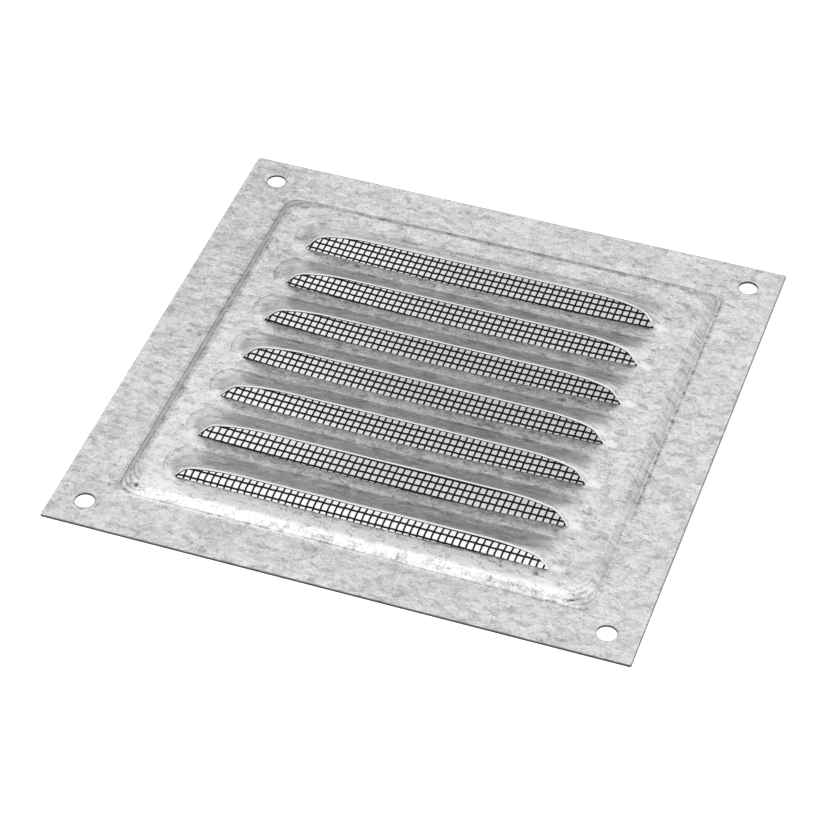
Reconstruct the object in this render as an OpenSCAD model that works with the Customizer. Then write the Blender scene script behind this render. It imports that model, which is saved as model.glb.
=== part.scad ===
// Ventilation grille: one pressed sheet-metal plate with a raised panel and seven louvre hoods,
// and a fine insect mesh lying against the back of the panel.
// Units are millimetres. The plate lies on its back at Z = 0, X runs along the louvres,
// the louvre mouths face -Y, which is down when the grille hangs on a wall.

/* [Plate] */
// Width of the plate, along the louvres
plate_w = 150; // [142:1:260]
// Height of the plate, across the louvres
plate_h = 150; // [145:1:260]
// Thickness of the sheet
sheet_t = 0.5; // [0.4:0.05:0.7]
// Diameter of the four screw holes
hole_d = 5; // [3.5:0.1:6]
// Distance from the plate edges to the hole centres
hole_inset = 8.3; // [6:0.1:9]

/* [Raised panel] */
// Width of the flat flange round the panel
flange_w = 13.5; // [12.5:0.1:14.5]
// Height of the panel above the flange
panel_rise = 2.5; // [2:0.1:4]
// Radius of the outer crease at the panel corners
crease_corner_r = 3.6; // [3:0.1:5]
// Radius of the upper edge of the panel at its corners
deck_corner_r = 8.5; // [6:0.5:9]
// Middle radius of the two bends in the panel edge
bend_r = 1.2; // [0.8:0.1:1.3]
// Slope of the panel edge in degrees
edge_slope = 50; // [45:1:55]

/* [Louvres] */
// Number of louvres
louvre_count = 7; // [2:1:7]
// Distance from one louvre to the next
louvre_pitch = 15.55; // [14.6:0.05:15.7]
// Length of the slit from tip to tip
slit_l = 96.6; // [60:0.2:98]
// Flat strip between the last slit and the front edge of the panel
front_strip = 4.6; // [3.8:0.1:5.5]
// Height of the lip above the panel
hood_rise = 5.4; // [4:0.1:6]
// Depth of a hood from its slit to its back
hood_depth = 11; // [10.4:0.1:11.6]
// How far the rounded ends of a hood reach past the slit tips
hood_over = 4; // [3:0.1:4.4]
// Radius of the hood ends seen from above
hood_end_r = 6; // [5.9:0.1:6.6]
// How far the pressing draws a lip back from its slit
lip_set = 1.4; // [0.6:0.1:2]
// The same for the first louvre
first_lip_set = 2.3; // [0.6:0.1:3]
// The same for the last louvre
last_lip_set = 0.3; // [0.1:0.1:2]
// How far the strip in front of a slit is drawn away from it
strip_bow = 1.3; // [0.2:0.1:1.5]
// The same for the last louvre
last_strip_bow = 0.3; // [0.1:0.1:1.5]
// Steepness of the lip at the slit tips in degrees
lip_end_angle = 49; // [40:1:55]
// Length over which the lip still rises from each tip
lip_shoulder_l = 18; // [12:0.5:24]
// Part of the full lip height reached at the steep ends
lip_shoulder_part = 0.55; // [0.5:0.01:0.75]

/* [Insect mesh] */
// Distance between the wires that run across the louvres
wire_pitch_x = 1.79; // [1.6:0.01:2]
// Wires along the louvres for each louvre pitch
wires_per_louvre = 7; // [6:1:8]
// Width of a wire
wire_w = 0.36; // [0.3:0.02:0.44]
// Thickness of the mesh through both wire layers
mesh_t = 0.7; // [0.5:0.05:0.9]
// Gap between the edge of the mesh and the edge of the flat panel
mesh_margin = 3.2; // [3.2:0.1:3.6]

/* [Hidden] */
$fn = 64;

// Panel edge
panel_w = plate_w - 2 * flange_w;
panel_h = plate_h - 2 * flange_w;
bend_in = bend_r - sheet_t / 2;
bend_out = bend_r + sheet_t / 2;
slope_len = (panel_rise - 2 * bend_r * (1 - cos(edge_slope))) / sin(edge_slope);
edge_w = round(1000 * (2 * bend_r * sin(edge_slope) + slope_len * cos(edge_slope))) / 1000;
bend_steps = 6;
corner_steps = 8;
deck_w = panel_w - 2 * edge_w;
deck_h = panel_h - 2 * edge_w;

// Louvre outline
slit_half = slit_l / 2;
end_x = slit_half + hood_over - hood_end_r;
end_y = hood_depth - hood_end_r;
end_angle = -asin(end_y / hood_end_r);
meet_x = end_x + hood_end_r * cos(end_angle);
last_slit_y = -deck_h / 2 + front_strip;
function slit_y(i) = last_slit_y + (louvre_count - 1 - i) * louvre_pitch;
function set_of(i) = i == 0 ? first_lip_set : i == louvre_count - 1 ? last_lip_set : lip_set;
function bow_of(i) = i == louvre_count - 1 ? last_strip_bow : strip_bow;

// Lip height as a part of the full height, d millimetres inside a slit tip
function steep_part(d) = max(d, 0) * tan(lip_end_angle) / hood_rise;
function flat_part(d) = 1 - (1 - lip_shoulder_part) * pow(1 - min(d, lip_shoulder_l) / lip_shoulder_l, 2);
function soft_min(a, b) = a * b / pow(pow(a, 6) + pow(b, 6), 1 / 6);
function lip_part(d) = d <= 0 ? 0 : soft_min(steep_part(d), flat_part(d));

// Fall of a hood from its lip (v = 0) to its back (v = 1): a straight fall with an eased start
// and a hollow at the foot
fall_a = 0.3;
fall_b = 0.62;
fall_0 = 0.7;
fall_area = fall_a * (1 + fall_0) / 2 + (fall_b - fall_a) + (1 - fall_b) / 2;
function fall_sum(v) =
    v < fall_a ? fall_0 * v + (1 - fall_0) * v * v / (2 * fall_a)
    : v < fall_b ? fall_a * (1 + fall_0) / 2 + v - fall_a
    : fall_area - pow(1 - v, 2) / (2 * (1 - fall_b));
function fall(v) = 1 - fall_sum(v) / fall_area;

// Half a hood as pairs of stations, from the end to the middle: distance inside the slit tip,
// and the place on the outline, as an angle on the round end or as a part of the straight back
end_steps = [0, 0.7, 1.4, 2.2, 3.1, 4.3, 6, 8.5];
end_turn = [0.16, 0.3, 0.44, 0.57, 0.69, 0.8, 0.9, 1];
mid_parts = [0.86, 0.7, 0.45, 0.2];
function mid_front(k) = (slit_half - 8.5) * mid_parts[k];
function mid_back(k) = end_x * mid_parts[k];
half_front = concat([meet_x], [for (d = end_steps) slit_half - d], [for (k = [0:3]) mid_front(k)]);
half_back = concat(
    [[meet_x, 0]],
    [for (a = end_turn) let (g = end_angle + (90 - end_angle) * a)
        [end_x + hood_end_r * cos(g), end_y + hood_end_r * sin(g)]],
    [for (k = [0:3]) [mid_back(k), hood_depth]]
);
half_n = len(half_front);
front_x = concat(-half_front, [0], [for (k = [half_n - 1:-1:0]) half_front[k]]);
back_p = concat(
    [for (p = half_back) [-p[0], p[1]]],
    [[0, hood_depth]],
    [for (k = [half_n - 1:-1:0]) half_back[k]]
);
cols = len(front_x);
rows_v = [0, 0.16, 0.36, 0.56, 0.72, 0.86, 1];
rows = len(rows_v);

// Top face of one hood, relative to its slit and to the panel top
function hood_point(i, j, set) =
    let (d = slit_half - abs(front_x[i]), f = lip_part(d), v = rows_v[j])
    [
        front_x[i] + (back_p[i][0] - front_x[i]) * v,
        set * f + (back_p[i][1] - set * f) * v,
        hood_rise * f * fall(v)
    ];
function unit(v) = v / norm(v);
function at_rim(i, j) = j == rows - 1 || i <= 1 || i >= cols - 2;
function hood_normal(i, j, set) =
    at_rim(i, j) ? [0, 0, 1]
    : unit(cross(
        hood_point(i + 1, j, set) - hood_point(i - 1, j, set),
        hood_point(i, min(j + 1, rows - 1), set) - hood_point(i, max(j - 1, 0), set)
    ));
function place(i, j) = i == 0 ? 0 : i == cols - 1 ? 1 + (cols - 2) * rows : 1 + (i - 1) * rows + j;
grid = concat(
    [[0, 0]],
    [for (i = [1:cols - 2]) for (j = [0:rows - 1]) [i, j]],
    [[cols - 1, 0]]
);
pts_n = len(grid);

// Triangles of the top face, wound clockwise seen from above
top_faces = concat(
    [for (j = [0:rows - 2]) [0, place(1, j + 1), place(1, j)]],
    [for (i = [1:cols - 3]) for (j = [0:rows - 2]) [place(i, j), place(i, j + 1), place(i + 1, j)]],
    [for (i = [1:cols - 3]) for (j = [0:rows - 2]) [place(i + 1, j), place(i, j + 1), place(i + 1, j + 1)]],
    [for (j = [0:rows - 2]) [place(cols - 1, 0), place(cols - 2, j), place(cols - 2, j + 1)]]
);
rim_front = [for (i = [0:cols - 1]) place(i, 0)];
rim_back = [for (i = [cols - 2:-1:1]) place(i, rows - 1)];
rim = concat(rim_front, rim_back);
rim_n = len(rim);
side_faces = concat(
    [for (k = [0:rim_n - 1]) let (a = rim[k], b = rim[(k + 1) % rim_n]) [a, b, a + pts_n]],
    [for (k = [0:rim_n - 1]) let (a = rim[k], b = rim[(k + 1) % rim_n]) [b, b + pts_n, a + pts_n]]
);
bottom_faces = [for (f = top_faces) [f[2] + pts_n, f[1] + pts_n, f[0] + pts_n]];

module hood(set) {
    top = [for (g = grid) hood_point(g[0], g[1], set)];
    under = [for (g = grid) hood_point(g[0], g[1], set) - sheet_t * hood_normal(g[0], g[1], set)];
    polyhedron(points = concat(top, under), faces = concat(top_faces, side_faces, bottom_faces));
}

// Opening of one louvre in the panel: the outline of its hood and the bowed strip edge
bow_n = 12;
module louvre_opening(bow) {
    outline = [for (i = [cols - 1:-1:0]) back_p[i]];
    strip = [for (k = [0:bow_n])
        let (a = -1 + 2 * k / bow_n)
        [a * slit_half, -bow * (1 - a * a)]];
    polygon(concat(outline, strip));
}

// Loop round the panel, off millimetres inside the outer crease. Its corner radius grows from
// the crease to the upper edge, so the slope is wider at the corners than along the sides.
function corner_r(off) = crease_corner_r + (deck_corner_r - crease_corner_r) * off / edge_w;
corner_signs = [[1, 1], [-1, 1], [-1, -1], [1, -1]];
function panel_loop(off) = [
    for (q = [0:3]) for (k = [0:corner_steps])
        let (r = corner_r(off), a = 90 * q + 90 * k / corner_steps)
        [
            corner_signs[q][0] * (panel_w / 2 - off - r) + r * cos(a),
            corner_signs[q][1] * (panel_h / 2 - off - r) + r * sin(a)
        ]
];
loop_n = 4 * (corner_steps + 1);

// Points along one bend of the sheet about centre c
function bend_arc(c, r, from_a, to_a) = [
    for (k = [0:bend_steps])
        let (a = from_a + (to_a - from_a) * k / bend_steps)
        c + r * [cos(a), sin(a)]
];

// Section through the panel edge: x = 0 at the outer crease and negative towards the panel
foot = [0, sheet_t / 2 + bend_r];
head = [-edge_w, panel_rise + sheet_t / 2 - bend_r];
edge_section = concat(
    bend_arc(foot, bend_in, 270, 270 - edge_slope),
    bend_arc(head, bend_out, 90 - edge_slope, 90),
    bend_arc(head, bend_in, 90, 90 - edge_slope),
    bend_arc(foot, bend_out, 270 - edge_slope, 270)
);
section_n = len(edge_section);
function edge_place(i, j) = (i % section_n) * loop_n + j % loop_n;

// Raised edge of the panel: the section carried round the loops of the panel
module panel_edge() {
    points = [for (c = edge_section) for (p = panel_loop(-c[0])) [p[0], p[1], c[1]]];
    outer = [for (i = [0:section_n - 1]) for (j = [0:loop_n - 1])
        [edge_place(i, j), edge_place(i + 1, j), edge_place(i, j + 1)]];
    inner = [for (i = [0:section_n - 1]) for (j = [0:loop_n - 1])
        [edge_place(i + 1, j), edge_place(i + 1, j + 1), edge_place(i, j + 1)]];
    polyhedron(points = points, faces = concat(outer, inner));
}

module flange() {
    difference() {
        linear_extrude(sheet_t) difference() {
            square([plate_w, plate_h], center = true);
            polygon(panel_loop(0));
        }
        for (x = [-1, 1], y = [-1, 1]) {
            translate([x * (plate_w / 2 - hole_inset), y * (plate_h / 2 - hole_inset), -1])
                cylinder(d = hole_d, h = sheet_t + 2);
        }
    }
}

module deck() {
    translate([0, 0, panel_rise]) linear_extrude(sheet_t) difference() {
        polygon(panel_loop(edge_w));
        for (i = [0:louvre_count - 1]) {
            translate([0, slit_y(i)]) louvre_opening(bow_of(i));
        }
    }
}

module pressed_plate() {
    color([0.72, 0.73, 0.74]) union() {
        flange();
        panel_edge();
        deck();
        for (i = [0:louvre_count - 1]) {
            translate([0, slit_y(i), panel_rise + sheet_t]) hood(set_of(i));
        }
    }
}

// Insect mesh
wire_pitch_y = louvre_pitch / wires_per_louvre;
mesh_w = deck_w - 2 * mesh_margin;
mesh_h = deck_h - 2 * mesh_margin;
wire_phase = 1.1;
layer_t = mesh_t * 0.36;
gap_cols = 17;
gap_cells = 4;
first_wire = ceil((-mesh_h / 2 + wire_w - last_slit_y - wire_phase) / wire_pitch_y);
last_wire = floor((mesh_h / 2 - wire_w - last_slit_y - wire_phase) / wire_pitch_y);
half_wires = floor((mesh_w / 2 - wire_w) / wire_pitch_x - 0.5);

// The mesh web: a thin wall with gaps behind the louvre mouths
module mesh_web() {
    gap_w = 3 * wire_pitch_x - 1.4 * wire_w;
    gap_h = gap_cells * wire_pitch_y - 1.4 * wire_w;
    difference() {
        translate([-mesh_w / 2, -mesh_h / 2, layer_t]) cube([mesh_w, mesh_h, mesh_t - 2 * layer_t]);
        for (i = [0:louvre_count - 1], k = [0:gap_cols - 1]) {
            translate([
                (k - (gap_cols - 1) / 2) * 3 * wire_pitch_x - gap_w / 2,
                slit_y(i) + wire_phase + wire_pitch_y - gap_h / 2,
                -1
            ]) cube([gap_w, gap_h, mesh_t + 2]);
        }
    }
}

// Wires are laid as straight ridges, one layer along the louvres and one layer across them
module insect_mesh() {
    color([0.2, 0.2, 0.21]) translate([0, 0, panel_rise - mesh_t]) union() {
        mesh_web();
        for (k = [first_wire:last_wire]) {
            translate([-mesh_w / 2, last_slit_y + wire_phase + k * wire_pitch_y - wire_w / 2, mesh_t - layer_t])
                cube([mesh_w, wire_w, layer_t]);
        }
        for (k = [-half_wires - 1:half_wires]) {
            translate([(k + 0.5) * wire_pitch_x - wire_w / 2, -mesh_h / 2, 0])
                cube([wire_w, mesh_h, layer_t]);
        }
    }
}

pressed_plate();
insect_mesh();
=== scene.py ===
"""Ventilation grille: pressed zinc-coated sheet with seven louvre hoods, and a woven insect mesh behind it."""
import math

import bpy
import numpy as np
from mathutils import Matrix, Vector
from mathutils.geometry import delaunay_2d_cdt


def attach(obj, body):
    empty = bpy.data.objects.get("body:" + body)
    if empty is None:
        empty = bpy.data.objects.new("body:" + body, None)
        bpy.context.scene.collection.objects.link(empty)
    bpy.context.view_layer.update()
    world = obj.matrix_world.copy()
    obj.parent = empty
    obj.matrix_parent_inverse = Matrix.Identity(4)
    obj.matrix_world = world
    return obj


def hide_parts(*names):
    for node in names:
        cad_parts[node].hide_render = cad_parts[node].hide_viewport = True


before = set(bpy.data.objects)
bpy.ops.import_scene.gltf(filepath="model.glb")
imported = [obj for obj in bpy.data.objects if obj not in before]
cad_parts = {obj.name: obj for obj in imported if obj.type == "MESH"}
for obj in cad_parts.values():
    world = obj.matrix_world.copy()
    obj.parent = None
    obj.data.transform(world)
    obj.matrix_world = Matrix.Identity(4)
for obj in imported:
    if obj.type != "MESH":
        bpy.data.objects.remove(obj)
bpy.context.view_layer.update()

MM = 0.001

# Sizes in millimetres, as in the part's source
PLATE = 150.0
SHEET = 0.5
HOLE_D = 5.0
HOLE_INSET = 8.3
FLANGE = 13.5
PANEL_RISE = 2.5
CREASE_CORNER = 3.6
DECK_CORNER = 8.5
BEND = 1.2
EDGE_SLOPE = math.radians(50)
LOUVRES = 7
LOUVRE_PITCH = 15.55
SLIT = 96.6
FRONT_STRIP = 4.6
HOOD_RISE = 5.4
HOOD_DEPTH = 11.0
HOOD_OVER = 4.0
HOOD_END = 6.0
LIP_SET = [2.3, *[1.4] * 5, 0.3]
STRIP_BOW = [*[1.3] * 6, 0.3]
LIP_END_ANGLE = math.radians(49)
SHOULDER_L = 18.0
SHOULDER_PART = 0.55
FALL_A, FALL_B, FALL_0 = 0.3, 0.62, 0.7
WIRE_PITCH_X = 1.79
MESH_T = 0.7
MESH_MARGIN = 3.2

# Sizes in millimetres that only the looks need, fitted to the view
WIRE_PITCH_Y = 2.27
WIRE_START_Y = -5.88
WIRE_D = 0.5
# From the end of a slit to the middle of the bump past it
PAST_TIP = 1.9
DENT = (-56.2, -58.9)
DENT_REACH = 0.55
# From one corner wrinkle to the next
FOLD_PITCH = 0.58
# How far in front of the middle the mesh starts to dip, and over what length it goes down
DIP_START = 50.3
DIP_RUN = 3.3

# Fine lines on the sheet: from, to, half width and how much darker, or paler where below 0
SCRATCHES = [
    ((-64.4, -70.8), (-62.6, -51.5), 0.2, 0.16),
    ((-64.0, -70.4), (-62.2, -51.0), 0.22, -0.14),
    ((-63.6, -70.0), (-61.9, -50.8), 0.18, 0.13),
    ((-36.8, -71.5), (-33.2, -66.0), 0.16, 0.14),
    ((-18.4, -54.3), (-17.9, -56.2), 0.3, 0.45),
    ((-17.9, -56.2), (-16.2, -58.6), 0.2, 0.2),
    ((-1.2, -56.3), (-1.0, -56.3), 0.35, 0.6),
    ((38.6, -64.2), (39.8, -66.9), 0.18, 0.14),
    ((39.8, -66.9), (40.7, -71.4), 0.18, 0.14),
    ((50.0, -61.2), (52.4, -61.1), 0.4, 0.35),
    ((54.9, -60.6), (56.4, -59.9), 0.35, 0.35),
    ((62.6, -53.6), (65.2, -48.4), 0.2, 0.14),
]

PANEL = PLATE - 2 * FLANGE
SLOPE_LEN = (PANEL_RISE - 2 * BEND * (1 - math.cos(EDGE_SLOPE))) / math.sin(EDGE_SLOPE)
EDGE_W = 2 * BEND * math.sin(EDGE_SLOPE) + SLOPE_LEN * math.cos(EDGE_SLOPE)
DECK = PANEL - 2 * EDGE_W
SLIT_HALF = SLIT / 2
END_X = SLIT_HALF + HOOD_OVER - HOOD_END
END_Y = HOOD_DEPTH - HOOD_END
END_ANGLE = -math.asin(END_Y / HOOD_END)
MEET_X = END_X + HOOD_END * math.cos(END_ANGLE)
LAST_SLIT_Y = -DECK / 2 + FRONT_STRIP
SLIT_Y = [LAST_SLIT_Y + (LOUVRES - 1 - i) * LOUVRE_PITCH for i in range(LOUVRES)]


# ---- Node trees: numbers joined by Python's own operators ----

def wired(tree, kind, inputs=None, **settings):
    """A new node; its inputs are linked to Amounts and sockets, or set to plain values."""
    made = tree.nodes.new(kind)
    for name, value in settings.items():
        setattr(made, name, value)
    for name, value in (inputs or {}).items():
        if isinstance(value, Amount):
            value = value.socket
        if isinstance(value, bpy.types.NodeSocket):
            tree.links.new(value, made.inputs[name])
        else:
            made.inputs[name].default_value = value
    return made


def joined(tree, operation, *values):
    made = wired(tree, "ShaderNodeMath", dict(enumerate(values)), operation=operation)
    return Amount(tree, made.outputs[0])


def joined_by(operation):
    """A method that joins its Amount to other numbers in a maths node."""
    return lambda self, *others: joined(self.tree, operation, self, *others)


class Amount:
    """A number inside a node tree, from a socket."""

    def __init__(self, tree, socket):
        self.tree, self.socket = tree, socket

    __add__ = __radd__ = joined_by("ADD")
    __sub__ = joined_by("SUBTRACT")
    __mul__ = __rmul__ = joined_by("MULTIPLY")
    __truediv__ = joined_by("DIVIDE")
    __pow__ = joined_by("POWER")
    least = joined_by("MINIMUM")
    most = joined_by("MAXIMUM")
    size = joined_by("ABSOLUTE")
    sine = joined_by("SINE")
    cosine = joined_by("COSINE")
    root = joined_by("SQRT")
    exp = joined_by("EXPONENT")
    rounded = joined_by("ROUND")

    def __rsub__(self, other):
        return joined(self.tree, "SUBTRACT", other, self)

    def held(self, low, high):
        return self.most(low).least(high)

    def smooth(self, low, high):
        """0 below low, 1 above high, eased between them."""
        inputs = {"Value": self, "From Min": low, "From Max": high}
        made = wired(self.tree, "ShaderNodeMapRange", inputs, interpolation_type="SMOOTHSTEP")
        return Amount(self.tree, made.outputs["Result"])

    def fade(self, low, high):
        """1 below low, 0 above high, eased between them."""
        return 1 - self.smooth(low, high)

    def band(self, rise_from, rise_to, fall_from, fall_to):
        """1 inside a band, eased to 0 on both of its sides."""
        return self.smooth(rise_from, rise_to) * self.fade(fall_from, fall_to)

    def line(self, at, core, edge):
        """1 within core of a place, falling to 0 at edge from it."""
        return (self - at).size().fade(core, edge)


def named(tree, name):
    """A named attribute of the mesh as an Amount."""
    made = wired(tree, "GeometryNodeInputNamedAttribute", {"Name": name}, data_type="FLOAT")
    return Amount(tree, made.outputs["Attribute"])


def parts(tree, socket):
    """The three numbers of a vector."""
    return [Amount(tree, out) for out in wired(tree, "ShaderNodeSeparateXYZ", {0: socket}).outputs]


def vector(tree, *numbers):
    return wired(tree, "ShaderNodeCombineXYZ", dict(enumerate(numbers))).outputs[0]


def place(tree):
    """The three coordinates of the current point."""
    return parts(tree, tree.nodes.new("GeometryNodeInputPosition").outputs[0])


def wander(tree, scale, seed, along=None):
    """Soft noise about 0 in points of the tree; along gives the coordinates to read."""
    inputs = {"Scale": scale, "Detail": 1.0, "W": seed}
    if along is not None:
        inputs["Vector"] = along
    return Amount(tree, wired(tree, "ShaderNodeTexNoise", inputs, noise_dimensions="4D").outputs[0]) - 0.5


def new_tree(name, sizes):
    """A geometry tree with named number inputs. Returns the tree, its Amounts and its in and out nodes."""
    tree = bpy.data.node_groups.new(name, "GeometryNodeTree")
    tree.interface.new_socket("Geometry", in_out="INPUT", socket_type="NodeSocketGeometry")
    for label, value in sizes.items():
        kind = "NodeSocketInt" if isinstance(value, int) else "NodeSocketFloat"
        socket = tree.interface.new_socket(label, in_out="INPUT", socket_type=kind)
        socket.default_value = value
    tree.interface.new_socket("Geometry", in_out="OUTPUT", socket_type="NodeSocketGeometry")
    start = tree.nodes.new("NodeGroupInput")
    end = tree.nodes.new("NodeGroupOutput")
    return tree, {label: Amount(tree, start.outputs[label]) for label in sizes}, start, end


def finish_tree(tree, geometry, end, material):
    real = wired(tree, "GeometryNodeRealizeInstances", {0: geometry})
    paint = wired(tree, "GeometryNodeSetMaterial", {"Geometry": real.outputs[0], "Material": material})
    tree.links.new(paint.outputs[0], end.inputs[0])


def placed(name, data):
    """A new object in the scene."""
    piece = bpy.data.objects.new(name, data)
    bpy.context.scene.collection.objects.link(piece)
    return piece


def formed(piece):
    """A plain mesh of an object as its modifiers leave it."""
    bpy.context.view_layer.update()
    return bpy.data.meshes.new_from_object(piece.evaluated_get(bpy.context.evaluated_depsgraph_get()))


def grown(name, blank, tree, sizes):
    """Runs a geometry tree on a blank object and keeps the result as a plain mesh."""
    modifier = blank.modifiers.new("form", "NODES")
    modifier.node_group = tree
    for item in tree.interface.items_tree:
        if item.item_type == "SOCKET" and item.in_out == "INPUT" and item.name in sizes:
            modifier[item.identifier] = sizes[item.name]
    mesh = formed(blank)
    mesh.name = name
    piece = placed(name, mesh)
    blank.modifiers.clear()
    bpy.data.objects.remove(blank)
    return piece


def set_smooth(mesh, sharp_from):
    """Smooth shading, with sharp edges from an angle in degrees."""
    mesh.shade_smooth()
    mesh.set_sharp_from_angle(angle=math.radians(sharp_from))


# ---- The flat blank of the pressed sheet ----

# An inset that lies well away from the panel's edge
FAR_INSIDE = 20.0


class Blank:
    """Points of the sheet in plan, each with what the press needs to know about it."""

    def __init__(self):
        self.points, self.facts, self.faces = [], [], []

    def point(self, x, y, **facts):
        self.points.append((x, y))
        level = facts.get("level", 0.0)
        plain = {"level": level, "inset": FAR_INSIDE if level == 1.0 else -FAR_INSIDE}
        plain.update(from_tip=0.0, from_lip=1.0, set_back=0.0)
        self.facts.append({**plain, **facts})
        return len(self.points) - 1

    def strip(self, lower, upper):
        """Quads between two closed rows of as many points."""
        for k in range(len(lower)):
            after = (k + 1) % len(lower)
            self.quad(lower[k], lower[after], upper[after], upper[k])

    def quad(self, *corners):
        flat = [c for k, c in enumerate(corners) if c != corners[k - 1]]
        if len(flat) > 2:
            self.faces.append(flat)


def inside(loop, spots):
    """Which of the spots lie inside a closed loop of points."""
    a = np.array(loop)
    b = np.roll(a, -1, axis=0)
    x, y = spots[:, 0:1], spots[:, 1:2]
    crosses = (a[:, 1] > y) != (b[:, 1] > y)
    rise = np.where(b[:, 1] == a[:, 1], 1.0, b[:, 1] - a[:, 1])
    at = a[:, 0] + (y - a[:, 1]) * (b[:, 0] - a[:, 0]) / rise
    return (crosses & (x < at)).sum(axis=1) % 2 == 1


def spread(low, high, step):
    """Staggered rows of spots over a box."""
    rows = np.arange(low[1], high[1], step * 0.87)
    return np.array([
        (x + (step / 2 if k % 2 else 0), y)
        for k, y in enumerate(rows)
        for x in np.arange(low[0], high[0], step)
    ])


def inner_spots(shapes, step, dense):
    """Spots between the loops: step apart, and closer in each dense circle of (x, y, radius, step)."""
    clear_of_edge = 0.55
    edge = np.array([p for shape in shapes for p in shape])
    coarse = spread(edge.min(axis=0), edge.max(axis=0), step)
    sets = []
    for x, y, radius, near_step in dense:
        far = np.hypot(coarse[:, 0] - x, coarse[:, 1] - y) > radius
        coarse = coarse[far]
        spots = spread((x - radius, y - radius), (x + radius, y + radius), near_step)
        sets.append((spots[np.hypot(spots[:, 0] - x, spots[:, 1] - y) < radius], near_step))
    sets.append((coarse, step))
    kept = []
    for spots, gap in sets:
        keep = inside(shapes[0], spots)
        for shape in shapes[1:]:
            keep &= ~inside(shape, spots)
        kept += [s for s in spots[keep] if np.hypot(*(edge - s).T).min() > gap * clear_of_edge]
    return kept


def fill_flat(blank, outer, holes, step, level, dense=()):
    """Triangles between a loop and the holes in it, with scattered points so that the sheet can wave a little."""
    loops = [outer, *holes]
    shapes = [[blank.points[i] for i in loop] for loop in loops]
    extra = [blank.point(x, y, level=level) for x, y in inner_spots(shapes, step, dense)]
    ids = [i for loop in loops for i in loop] + extra
    ties, first = [], 0
    for loop in loops:
        ties += [(first + k, first + (k + 1) % len(loop)) for k in range(len(loop))]
        first += len(loop)
    flat = [Vector(blank.points[i]) for i in ids]
    corners, _, faces, origin, _, _ = delaunay_2d_cdt(flat, ties, [], 0, 1e-7)
    back = [ids[o[0]] for o in origin]
    middles = np.array([[sum(corners[c][axis] for c in f) / 3 for axis in (0, 1)] for f in faces])
    keep = inside(shapes[0], middles)
    for shape in shapes[1:]:
        keep &= ~inside(shape, middles)
    for face, kept in zip(faces, keep):
        if kept:
            a, b, c = (corners[i] for i in face)
            order = face if (b - a).cross(c - a) > 0 else face[::-1]
            blank.faces.append([back[i] for i in order])


def square_loop(blank, half, radius, arc_steps, runs, **facts):
    """Points round a rounded square, half a side from the middle: four corners and runs steps along each side."""
    centre = half - radius
    loop = []
    for corner in range(4):
        cx = centre if corner in (0, 3) else -centre
        cy = centre if corner in (0, 1) else -centre
        for k in range(arc_steps + 1):
            a = math.pi / 2 * (corner + k / arc_steps)
            loop.append(blank.point(cx + radius * math.cos(a), cy + radius * math.sin(a), **facts))
        a = math.pi / 2 * (corner + 1)
        dx, dy = -math.sin(a), math.cos(a)
        x0, y0 = cx + radius * math.cos(a), cy + radius * math.sin(a)
        for k in range(1, runs):
            w = 2 * centre * k / runs
            loop.append(blank.point(x0 + dx * w, y0 + dy * w, **facts))
    return loop


def corner_radius(inset):
    """Corner radius of the panel's loop that lies inset inside its crease."""
    return CREASE_CORNER + (DECK_CORNER - CREASE_CORNER) * inset / EDGE_W


def edge_rows():
    """How far inside the crease and how high each row of the panel edge lies, on the top face."""
    steps, flat_steps = 9, 16
    inner, outer = BEND - SHEET / 2, BEND + SHEET / 2
    turns = [EDGE_SLOPE * k / steps for k in range(steps + 1)]
    foot = [(inner * math.sin(a), inner * (1 - math.cos(a))) for a in turns]
    head = [(EDGE_W - outer * math.sin(a), PANEL_RISE - outer * (1 - math.cos(a))) for a in turns[::-1]]
    (x0, z0), (x1, z1) = foot[-1], head[0]
    shares = [k / flat_steps for k in range(1, flat_steps)]
    slope = [(x0 + (x1 - x0) * s, z0 + (z1 - z0) * s) for s in shares]
    outside = [(-0.7, 0.0), (-0.35, 0.0)]
    inside_rows = [(EDGE_W + 0.4, PANEL_RISE), (EDGE_W + 0.9, PANEL_RISE)]
    return outside + foot + slope + head + inside_rows


def hood_columns():
    """Pairs of places from the left end of a hood to its right end: on the slit line and on the outline."""
    # How far in from the slit's end each column starts, and how far round the outline's end it reaches
    steps = [None, 0, 0.7, 1.4, 2.2, 3.1, 4.3, 6, 8.5]
    turn = [0, 0.16, 0.3, 0.44, 0.57, 0.69, 0.8, 0.9, 1]
    half = []
    for k in range(8):
        pieces = 1 if k == 0 else 3
        for s in range(pieces):
            w = s / pieces
            x0 = MEET_X if k == 0 else SLIT_HALF - steps[k]
            x1 = SLIT_HALF - steps[k + 1]
            g = END_ANGLE + (math.pi / 2 - END_ANGLE) * (turn[k] + (turn[k + 1] - turn[k]) * w)
            half.append((x0 + (x1 - x0) * w, (END_X + HOOD_END * math.cos(g), END_Y + HOOD_END * math.sin(g))))
    middle = 22
    for k in range(middle):
        w = 1 - k / middle
        half.append(((SLIT_HALF - steps[-1]) * w, (END_X * w, HOOD_DEPTH)))
    left = [(-x, (-p[0], p[1])) for x, p in half]
    return left + [(0.0, (0.0, HOOD_DEPTH))] + half[::-1]


# Part of the way from the lip to the outline that is rolled over, and the rows of a hood along that way
ROLL = 0.05
HOOD_ROWS = [ROLL * k / 4 for k in range(4)] + [ROLL + (1 - ROLL) * k / 18 for k in range(19)]


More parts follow.
